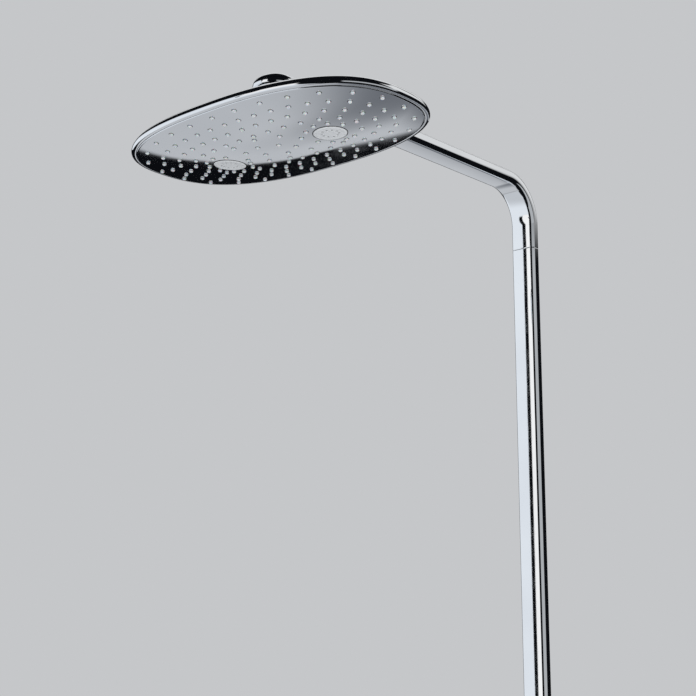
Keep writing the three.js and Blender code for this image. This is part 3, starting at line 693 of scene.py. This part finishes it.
def make_massage_discs():
    """Pale spray inserts with a ring of small outlets, each in a dark joint line."""
    for side, name in ((-1, "left"), (1, "right")):
        place, axes = face_frame(side * DISC_X, DISC_Y)
        front = [(0, -2.4), (DISC_RADIUS, -2.4), (DISC_RADIUS, -0.1), (DISC_RADIUS - 0.35, 0.35),
                 (DISC_RADIUS - 1.0, 0.55), (DISC_RADIUS - 2.6, 0.75), (DISC_RADIUS - 3.4, 0.7),
                 (DISC_RADIUS - 4.2, 0.55), (0, 0.55)]
        solid = Solid().turn(eased(front, 0.3, 3), place, axes, 96)
        disc = solid.finish(f"massage_insert_{name}", "head", FINISH["pale_plastic"],
                            [f"massage_disc_{name}"], "pale_plastic", 35)
        cutter = Solid()
        outlet = [(0, -1.2), (1.15, -1.2), (1.15, 0.2), (1.5, 0.6), (1.5, 2), (0, 2)]
        for k in range(DISC_OUTLETS):
            angle = 2 * math.pi * k / DISC_OUTLETS
            along = axes[0] * OUTLET_CIRCLE * math.cos(angle)
            across = axes[1] * OUTLET_CIRCLE * math.sin(angle)
            cutter.turn(outlet, place + along + across, axes, 20)
        drill = cutter.finish(f"drill_{name}", "head", FINISH["dark_plastic"])
        carve(disc, drill)
        # A dark disc just under the outlet holes is painted shade: it makes the holes read dark, as deep
        # holes in shadow would.
        hole_shade = Solid().turn([(0, -1.9), (11.5, -1.9), (11.5, 0.1), (0, 0.1)], place, axes, 48)
        hole_shade.finish(f"painted_hole_shade_{name}", "head", FINISH["dark_plastic"], (), "dark_plastic", 40)
        joint = [(DISC_RADIUS + 0.05, -0.5), (DISC_RADIUS + 0.75, -0.5), (DISC_RADIUS + 0.75, 0.06),
                 (DISC_RADIUS + 0.05, 0.12)]
        seal = Solid().turn(joint, place, axes, 96)
        seal.finish(f"insert_joint_{name}", "head", FINISH["rubber"], (), "rubber", 40)


# ---- Ball joint, hub and arm --------------------------------------------------------------------

BALL_HEIGHT = 38  # above the rim
BALL_RADIUS = 10


def make_ball_joint():
    """The nut with its grip notches, and the stem whose ball sits in it."""
    nut_low, nut_high = corners("socket_nut")
    bottom, top = nut_low.z - RIM_Z, nut_high.z - RIM_Z
    outside = [(17.3, bottom), (21, bottom), (21, bottom + 9.7), (13.4, top), (9.6, top), (9.6, top - 4)]
    inside = [(12.4, top - 9), (12.6, top - 10), (17.3, top - 10.2)]

    def notched(radius, height, angle):
        grip = 0.5 * max(0.0, math.cos(12 * angle)) ** 6
        return radius - grip if radius > 20 else radius

    nut = Solid().turn(eased([*outside, *inside], 1.1, 5), HEAD, "Z", 288, notched)
    nut.finish("grooved_socket_nut", "head", FINISH["chrome"], ["socket_nut"], "chrome", 35)

    ball = arc((0, BALL_HEIGHT), BALL_RADIUS, -72, 56, 24)
    neck = [(5.5, 57), (4.4, 57.1), (4.4, 58.9), (5.5, 59), (5.5, 61.6), (5.1, 62), (3, 62)]
    bore = [(3, 40), (3, 28.6)]
    profile = [*ball, *neck, *bore]
    stem = Solid().turn(profile, HEAD, "Z", 96)
    stem.finish("turned_ball_stem", "arm", FINISH["chrome"], ["ball_stem"], "chrome", 35)


DOME_FOOT = 57  # above the rim, where the hub's wall turns into its dome


def dome_radius(height):
    top = HUB_TOP - RIM_Z
    share = (height - DOME_FOOT) / (top - DOME_FOOT)
    return HUB_RADIUS * math.sqrt(max(0.0, 1 - share ** 2))


def make_hub():
    """A domed hub on the arm's end, split by a hairline."""
    bottom = HUB_LOW.z - RIM_Z
    split = HUB_HIGH.z - RIM_Z
    top = HUB_TOP - RIM_Z
    outside = [(5.9, bottom), (HUB_RADIUS - 2, bottom), (HUB_RADIUS, bottom + 2), (HUB_RADIUS, DOME_FOOT)]
    shoulder = [(dome_radius(DOME_FOOT + k), DOME_FOOT + k) for k in (0.8, 1.6, 2.4)]
    rim = [(dome_radius(split - 0.1), split - 0.15), (21, split - 0.15), (21, bottom + 3), (5.9, bottom + 3)]
    body = Solid().turn(eased([*outside, *shoulder, *rim], 0.8, 4), HEAD, "Z", 128)
    body.finish("hub_shell", "arm", FINISH["chrome"], ["hub_body"], "chrome", 40)
    under = [(0, split + 5), (17, split + 5), (21, split + 0.02)]
    foot = split + 0.05
    dome = []
    first = math.asin((foot - DOME_FOOT) / (top - DOME_FOOT))
    for k in range(33):
        angle = first + (math.pi / 2 - first) * k / 32
        dome.append((HUB_RADIUS * math.cos(angle), DOME_FOOT + (top - DOME_FOOT) * math.sin(angle)))
    dome[-1] = (0, top)
    cap = Solid().turn([*under, *dome], HEAD, "Z", 128)
    cap.finish("hub_dome", "arm", FINISH["chrome"], ["hub_cap"], "chrome", 40)


def section_rings(outline, stations):
    """The outline placed at each station: a point, a turn about X in degrees and an inset."""
    rings = []
    for (y, z), lean, inset in stations:
        turn = math.radians(lean)
        across = Vector((0, math.cos(turn), math.sin(turn)))
        ring = []
        for px, py in outline(inset):
            ring.append(Vector((px, 0, 0)) + across * py + Vector((0, y, z)))
        rings.append(ring)
    return rings


def tube_outline(inset):
    return rounded_rectangle(SECTION_WIDTH - 2 * inset, SECTION_DEPTH - 2 * inset, SECTION_CORNER - inset)


def arm_stations(start, end, steps):
    """Up from the seam, round the bend and forwards along -Y."""
    rise = ARM_Z - BEND
    stations = [((AXIS_Y, start), 0), ((AXIS_Y, rise), 0)]
    for k in range(1, steps + 1):
        angle = math.radians(90 * k / steps)
        forward = BEND * (1 - math.cos(angle))
        stations.append(((AXIS_Y - forward, rise + BEND * math.sin(angle)), 90 * k / steps))
    stations.append(((end, ARM_Z), 90))
    return stations


EDGE = 0.45  # rounding of the tubes' cut ends


def make_arm():
    """The swivelling part of the column: from the seam round the bend to the hub."""
    start, end = ARM_LOW.z - 0.1, HEAD_Y + 9
    path = arm_stations(start + EDGE, end, 48)
    lip = []
    for k in range(4):
        angle = math.radians(30 * k)
        lip.append(((AXIS_Y, start + EDGE - EDGE * math.cos(angle)), 0, EDGE - EDGE * math.sin(angle)))
    lip.append(((AXIS_Y, start + 2 * EDGE), 0, 0))
    outer = [*lip, *[(spot, lean, 0) for spot, lean in path[1:]]]
    inner = [(spot, lean, WALL) for spot, lean in reversed(path)]
    inner[-1] = ((AXIS_Y, start), 0, WALL)
    solid = Solid().loft(section_rings(tube_outline, [*outer, *inner]), loop=True)
    solid.finish("arm_bend", "arm", FINISH["chrome"], ["arm_tube"], "chrome", 50)


def make_riser():
    """The column's fixed part, with a rolled edge at the seam."""
    top, bottom = SEAM_Z, RISER_LOW.z
    heights = (bottom, (top + bottom) / 2, top - 2 * EDGE)
    stations = [((AXIS_Y, height), 0, 0) for height in heights]
    for k in range(4):
        angle = math.radians(30 * k)
        stations.append(((AXIS_Y, top - EDGE + EDGE * math.sin(angle)), 0, EDGE - EDGE * math.cos(angle)))
    stations += [((AXIS_Y, top), 0, WALL), ((AXIS_Y, bottom), 0, WALL)]
    solid = Solid().loft(section_rings(tube_outline, stations), loop=True)
    solid.finish("flat_riser", "column", FINISH["chrome"], ["riser_tube"], "chrome", 50)


# ---- Wall bracket -------------------------------------------------------------------------------

COLLAR_WALL = 4
COLLAR_CORNER = SECTION_CORNER + 2.5
COLLAR_GAP = 0.3


def collar_rings(bottom, top, bevel):
    """A collar round the section: its outside with rolled edges, and its opening."""
    def ring(extra, round_by, z):
        outline = rounded_rectangle(SECTION_WIDTH + 2 * extra, SECTION_DEPTH + 2 * extra, round_by)
        return [Vector((px, AXIS_Y + py, z)) for px, py in outline]

    rings = []
    for k in range(6):
        angle = math.radians(18 * k)
        inset = bevel * (1 - math.sin(angle))
        height = bottom + bevel * (1 - math.cos(angle))
        rings.append(ring(COLLAR_WALL - inset, COLLAR_CORNER - inset, height))
    for k in range(6):
        angle = math.radians(18 * k)
        inset = bevel * (1 - math.cos(angle))
        height = top - bevel * (1 - math.sin(angle))
        rings.append(ring(COLLAR_WALL - inset, COLLAR_CORNER - inset, height))
    opening = SECTION_CORNER + COLLAR_GAP
    rings += [ring(COLLAR_GAP + 0.3, opening + 0.3, top), ring(COLLAR_GAP, opening, top - 0.4)]
    rings += [ring(COLLAR_GAP, opening, bottom + 0.4), ring(COLLAR_GAP + 0.3, opening + 0.3, bottom)]
    return rings


def make_bracket():
    """The rose on the wall and the post with its clamp round the column."""
    low, high = corners("wall_bracket_cover")
    radius, depth = high.x, -low.y
    outside = [(26, 0.0), (radius, 0.0), (radius, 2), (25, 9), (20, 13), (9.3, depth)]
    inside = [(9.3, 12.5), (19.4, 11.6), (23.8, 8), (25.5, 1.5)]
    dome = flowing(outside[1:-1], 6)
    profile = [outside[0], *dome, outside[-1], *inside]
    cover = Solid().turn(eased(profile, 0.5, 3), (0, 0, 0), "-Y", 128)
    cover.finish("bracket_rose", "column", FINISH["chrome"], ["wall_bracket_cover"], "chrome", 35)
    arm_low, arm_high = corners("wall_bracket_arm")
    solid = Solid()
    solid.loft(collar_rings(arm_low.z, arm_high.z, 1.4), loop=True)
    screw_hole = [(0, 20.6), (6.3, 20.6), (6.3, 4.6), (9, 4.6)]
    post = [*screw_hole, (9, 49), (9.6, 52), (11.2, 54.6), (12.2, 55.4), (0, 55.4)]
    solid.turn(eased(post, 0.6, 4), (0, 0, 0), "-Y", 96)
    solid.finish("bracket_clamp", "column", FINISH["chrome"], ["wall_bracket_arm"], "chrome", 40)


# ---- Mixer --------------------------------------------------------------------------------------

BAR_RADIUS = 22.0
FOOT_WIDTH = 44
FOOT_DEPTH = 27
FOOT_CORNER = 9
OUTLET_X = 30
INLET_X = 75  # inlets stand 150 mm apart


def make_mixer_body():
    """The bar with a groove near each end, the column's foot, the hose outlet and the two inlets."""
    solid = Solid()
    bar = BAR_RADIUS
    left = [(0, -BAR_END), (bar - 1.6, -BAR_END), (bar, -BAR_END + 1.6)]
    right = [(bar, BAR_END - 1.6), (bar - 1.6, BAR_END), (0, BAR_END)]
    grooves = []
    for x in (-BAR_END + 9, BAR_END - 10.2):
        grooves += [(bar, x), (bar - 0.5, x + 0.3), (bar - 0.5, x + 0.9), (bar, x + 1.2)]
    solid.turn(eased([*left, *grooves, *right], 0.7, 4), MIXER, "X", 160)
    foot = corners("riser_foot_collar")[0].z - MIXER.z - 0.3
    rings = []
    for z, inset in [(0, 0), (foot - 1.2, 0), (foot - 0.6, 0.17), (foot - 0.2, 0.6), (foot, 1.2)]:
        outline = rounded_rectangle(FOOT_WIDTH - 2 * inset, FOOT_DEPTH - 2 * inset, FOOT_CORNER - inset)
        rings.append([MIXER + Vector((px, py, z)) for px, py in outline])
    solid.loft(rings)
    low = BAR_LOW.z - MIXER.z
    nipple = [(5.5, low), (9.6, low), (10.5, low + 0.9)]
    for k in range(5):
        z = low + 1.4 + 1.8 * k
        nipple += [(10.5, z), (9.7, z + 0.7), (9.7, z + 1.0), (10.5, z + 1.7)]
    nipple += [(10.5, -21.5), (12.2, -20.6), (13.5, -17.5), (5.5, -17.5)]
    solid.turn(nipple, MIXER + Vector((OUTLET_X, 0, 0)), "Z", 96)
    for side in (-1, 1):
        inlet = [(7.5, 34), (12, 34), (12, 25), (12.6, 22.5), (14.6, 19.6), (14.6, 15), (7.5, 15)]
        solid.turn(eased(inlet, 0.8, 4), MIXER + Vector((INLET_X * side, 0, 0)), "Y", 96)
    solid.finish("mixer_bar", "column", FINISH["chrome"], ["mixer_body"], "chrome", 35)


NUT_BORE = 15  # the nuts are round inside this radius


def hexagon(across_corners, radius, angle):
    """The smaller of a turned radius and a hexagon's, so that a chamfer curves over the flats."""
    flat = across_corners * math.cos(math.pi / 6)
    wedge = (angle + math.pi / 6) % (math.pi / 3) - math.pi / 6
    return min(radius, flat / math.cos(wedge))


def make_inlets():
    """A union nut, a wall rose and a wall pipe on each inlet."""
    for name, side in (("hot", -1), ("cold", 1)):
        place = MIXER + Vector((INLET_X * side, 0, 0))
        low, high = corners(f"union_nut_{name}")
        start, end = low.y - AXIS_Y, high.y - AXIS_Y
        across = (high.x - low.x) / 2
        outside = [(12.3, start), (16.2, start), (across, start + 1.5), (across, end - 1.5), (16.2, end)]
        inside = [(10.3, end), (10.3, end - 3.7), (12.3, end - 3.7)]
        nut = Solid()
        profile = eased([*outside, *inside], 0.35, 3)
        nut.turn(profile, place, "Y", 192, lambda r, h, a: hexagon(across, r, a) if r > NUT_BORE else r)
        nut.finish(f"hexagon_nut_{name}", "column", FINISH["chrome"], [f"union_nut_{name}"], "chrome", 30)

        wall = -AXIS_Y
        flare = [(10.3, 53), (15, 53.3), (24, 55), (30, 60), (33, 66), (33, wall), (31.5, wall)]
        under = [(31.5, 66.4), (29, 61.2), (23.4, 56.5), (10.3, 54.6)]
        rose = Solid().turn([*flowing(flare[:5], 5), *flare[5:], *under], place, "Y", 128)
        rose.finish(f"wall_rose_{name}", "column", FINISH["chrome"], [f"escutcheon_{name}"], "chrome", 40)
        union = [(7, 36), (11.7, 36), (11.7, 39), (10, 39), (10, wall), (7, wall)]
        pipe = Solid().turn(eased(union, 0.4, 3), place, "Y", 96)
        pipe.finish(f"wall_pipe_{name}", "column", FINISH["chrome"], [f"wall_union_{name}"], "chrome", 35)


def make_foot_collar():
    """The collar that joins the column to the mixer."""
    low, high = corners("riser_foot_collar")
    solid = Solid().loft(collar_rings(low.z, high.z, 1.2), loop=True)
    solid.finish("foot_collar", "column", FINISH["chrome"], ["riser_foot_collar"], "chrome", 40)


HANDLE_RADIUS = 23.5
FLUTES = 20
FLUTE_DEPTH = 0.75
GRIP_ROOT = 22.6  # only the grip outside this radius is fluted
BUTTON_X = middle("safety_button").x


def make_handles():
    """Two fluted cups with dished caps. The temperature handle has a hole for its button."""
    for name, axis, side in (("temperature", "-X", -1), ("diverter", "X", 1)):
        low, high = corners(f"{name}_handle")
        length = high.x - low.x + 0.6
        place = MIXER + Vector((side * BAR_END, 0, 0))
        r = HANDLE_RADIUS

        def fluted(radius, height, angle):
            if radius < GRIP_ROOT:
                return radius
            along = min(1.0, max(0.0, (height - 22) / 3), max(0.0, (length - 4 - height) / 3))
            return radius - FLUTE_DEPTH * along * (0.5 + 0.5 * math.cos(FLUTES * angle)) ** 3

        grip = [(r, 2)] + [(r, 20 + k) for k in range(0, int(length) - 22)] + [(r, length - 2)]
        foot = [(r - 3.5, 0.6), (r - 1, 0.6)]
        cup = eased([*foot, *grip, (r - 2, length), (18, length), (18, length - 8)], 0.9, 4)
        inside = [(2.2, length - 8), (2.2, 25), (5.4, 25), (5.4, 4), (9, 4), (9, 28), (r - 3.5, 28)]
        solid = Solid().turn([*cup, *inside], place, axis, 320, fluted)
        handle = solid.finish(f"fluted_{name}_handle", f"{name}_handle", FINISH["chrome"], [f"{name}_handle"],
                              "chrome", 35)
        if name == "temperature":
            spot = Vector((BUTTON_X, MIXER.y, MIXER.z))
            drill = Solid().turn([(0, 11), (4.8, 11), (4.8, 30), (0, 30)], spot, "Z", 48)
            carve(handle, drill.finish("button_drill", "temperature_handle", FINISH["chrome"]))
        edge = [(0, length - 3), (17.6, length - 3), (17.6, length - 0.7)]
        rim = [*edge, (16.9, length - 0.15), (15.4, length)]
        dish = [(13, length - 0.05), (11, length - 0.6), (0, length - 0.75)]
        cap = Solid().turn(eased([*rim, *dish], 0.4, 3), place, axis, 128)
        cap.finish(f"dished_{name}_cap", f"{name}_handle", FINISH["chrome"], [f"{name}_cap"], "chrome", 35)


def make_button():
    """The safety button on the temperature handle."""
    low, high = corners("safety_button")
    spot = Vector((BUTTON_X, MIXER.y, 0))
    side = [(0, low.z), (4.5, low.z), (4.5, high.z - 1.3), (3.6, high.z - 0.2)]
    profile = [*side, (2.4, high.z), (1.4, high.z - 0.35), (0, high.z - 0.45)]
    button = Solid().turn(eased(profile, 0.5, 4), spot, "Z", 64)
    button.finish("dished_safety_button", "safety_button", FINISH["dark_plastic"], ["safety_button"],
                  "dark_plastic", 35)


# ---- The CAD pieces that stay -------------------------------------------------------------------

def finish_cad_pieces():
    """Each CAD piece that still shows takes its slot's finish."""
    for part in frame["record"]["subparts"]:
        node = frame["nodes"][part["node"]]
        if node.hide_render:
            continue
        plated_over = part["node"] == "ball_socket"  # its rim shows beside the nut
        node.data.materials.clear()
        node.data.materials.append(FINISH["chrome" if plated_over else part["material_slot"]])


make_camera()
make_floor()
make_studio()
make_light("key", (-1.8, -2.6, 2.6), 2.2, 90)
make_light("low_fill", (2.4, -1.8, 0.1), 2.0, 30)
make_head_shell()
make_spray_face()
make_nozzles()
make_massage_discs()
make_ball_joint()
make_hub()
make_arm()
make_riser()
make_bracket()
make_mixer_body()
make_inlets()
make_foot_collar()
make_handles()
make_button()
finish_cad_pieces()
